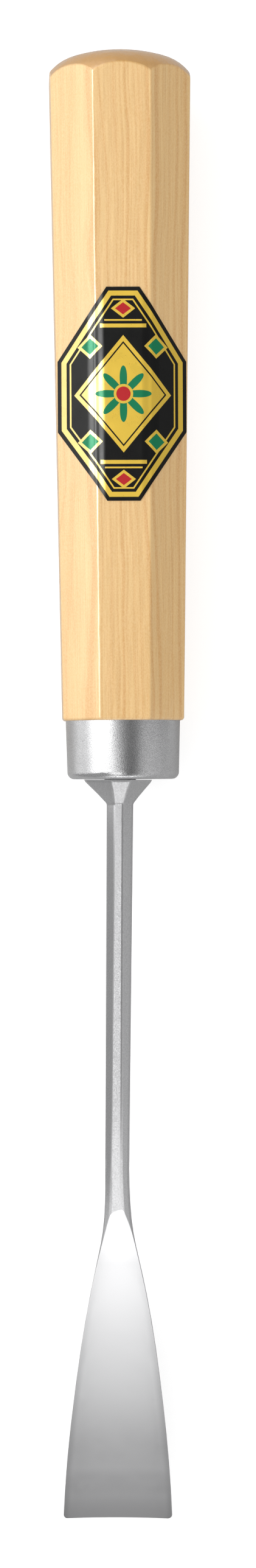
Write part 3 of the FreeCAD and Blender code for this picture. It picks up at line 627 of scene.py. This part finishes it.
world = bpy.data.worlds.new("studio")
world.use_nodes = True
studio = world.node_tree
studio.nodes.clear()
bearing = add(studio, "ShaderNodeSeparateXYZ", {
    "Vector": add(studio, "ShaderNodeTexCoord").outputs["Generated"]})
round_tool = add(studio, "ShaderNodeValToRGB", {"Fac": turn_share(studio, bearing)}, stops=[
    (0.20, 0.33), (0.25, 0.40), (0.285, 0.50), (0.315, 0.80), (0.335, 1.0), (0.405, 1.0),
    (0.425, 0.70), (0.445, 0.42), (0.465, 0.29), (0.490, 0.19), (0.515, 0.09), (0.550, 0.075),
    (0.575, 0.12), (0.595, 0.25), (0.615, 0.32), (0.660, 0.30), (0.720, 0.275), (0.780, 0.21)])
# In line past the cutting edge it is brightest, where the bolster's front and the scoop look.
ahead = add(studio, "ShaderNodeMapRange", {
    "Value": bearing.outputs["X"], "From Min": 0.93, "From Max": 0.98},
    interpolation_type="SMOOTHSTEP")
in_line = add(studio, "ShaderNodeMapRange", {
    "Value": add(studio, "ShaderNodeMath", {0: bearing.outputs["Y"]}, operation="ABSOLUTE"),
    "From Min": 0.55, "From Max": 0.25}, interpolation_type="SMOOTHSTEP")
mirrored = add(studio, "ShaderNodeMix", {
    "Factor": add(studio, "ShaderNodeMath", {0: ahead, 1: in_line}, operation="MULTIPLY"),
    COLOUR_A: add(studio, "ShaderNodeVectorMath", {
        0: round_tool, 1: (ROOM_MIRRORED,) * 3}, operation="MULTIPLY"),
    COLOUR_B: (END_MIRRORED,) * 3 + (1.0,)}, data_type="RGBA")
paths = add(studio, "ShaderNodeLightPath")
tone = add(studio, "ShaderNodeMix", {
    "Factor": paths.outputs["Is Glossy Ray"], COLOUR_A: (ROOM_LIGHT,) * 3 + (1.0,),
    COLOUR_B: mirrored.outputs[MIXED]}, data_type="RGBA")
backdrop = add(studio, "ShaderNodeMix", {
    "Factor": paths.outputs["Is Camera Ray"], COLOUR_A: tone.outputs[MIXED], COLOUR_B: WHITE},
    data_type="RGBA")
add(studio, "ShaderNodeOutputWorld", {
    "Surface": add(studio, "ShaderNodeBackground", {
        "Color": backdrop.outputs[MIXED], "Strength": 1.0})})
bpy.context.scene.world = world
bpy.context.scene.view_settings.view_transform = "Standard"

# The photograph looks down on the face, square to the tool's line and two degrees to its left,
# and is turned by a third of a degree. The focal length is in the photograph's own pixels.
PHOTO_HEIGHT = 2576
FOCAL_PIXELS = 6900
SENSOR = 36.0
CAMERA_DISTANCE = 770.7
CAMERA_ROLL = math.radians(2.2)
CAMERA_LEAN = math.radians(0.33)
AIM = Vector((134.4, 0.88, 0))

back = Vector((0, -math.sin(CAMERA_ROLL), math.cos(CAMERA_ROLL)))
level_right = Vector((0, math.cos(CAMERA_ROLL), math.sin(CAMERA_ROLL)))
right = level_right * math.cos(CAMERA_LEAN) + Vector((math.sin(CAMERA_LEAN), 0, 0))
up = level_right * math.sin(CAMERA_LEAN) - Vector((math.cos(CAMERA_LEAN), 0, 0))
camera_turn = Matrix.Rotation(SLOPE, 3, "Y") @ Matrix((right, up, back)).transposed()
camera_place = tool_place(*(AIM + back * CAMERA_DISTANCE)) * MM
camera_data = bpy.data.cameras.new("camera")
camera_data.sensor_width = SENSOR
camera_data.lens = SENSOR * FOCAL_PIXELS / PHOTO_HEIGHT
camera = bpy.data.objects.new("camera", camera_data)
camera.matrix_world = Matrix.Translation(camera_place) @ camera_turn.to_4x4()
bpy.context.scene.collection.objects.link(camera)
bpy.context.scene.camera = camera
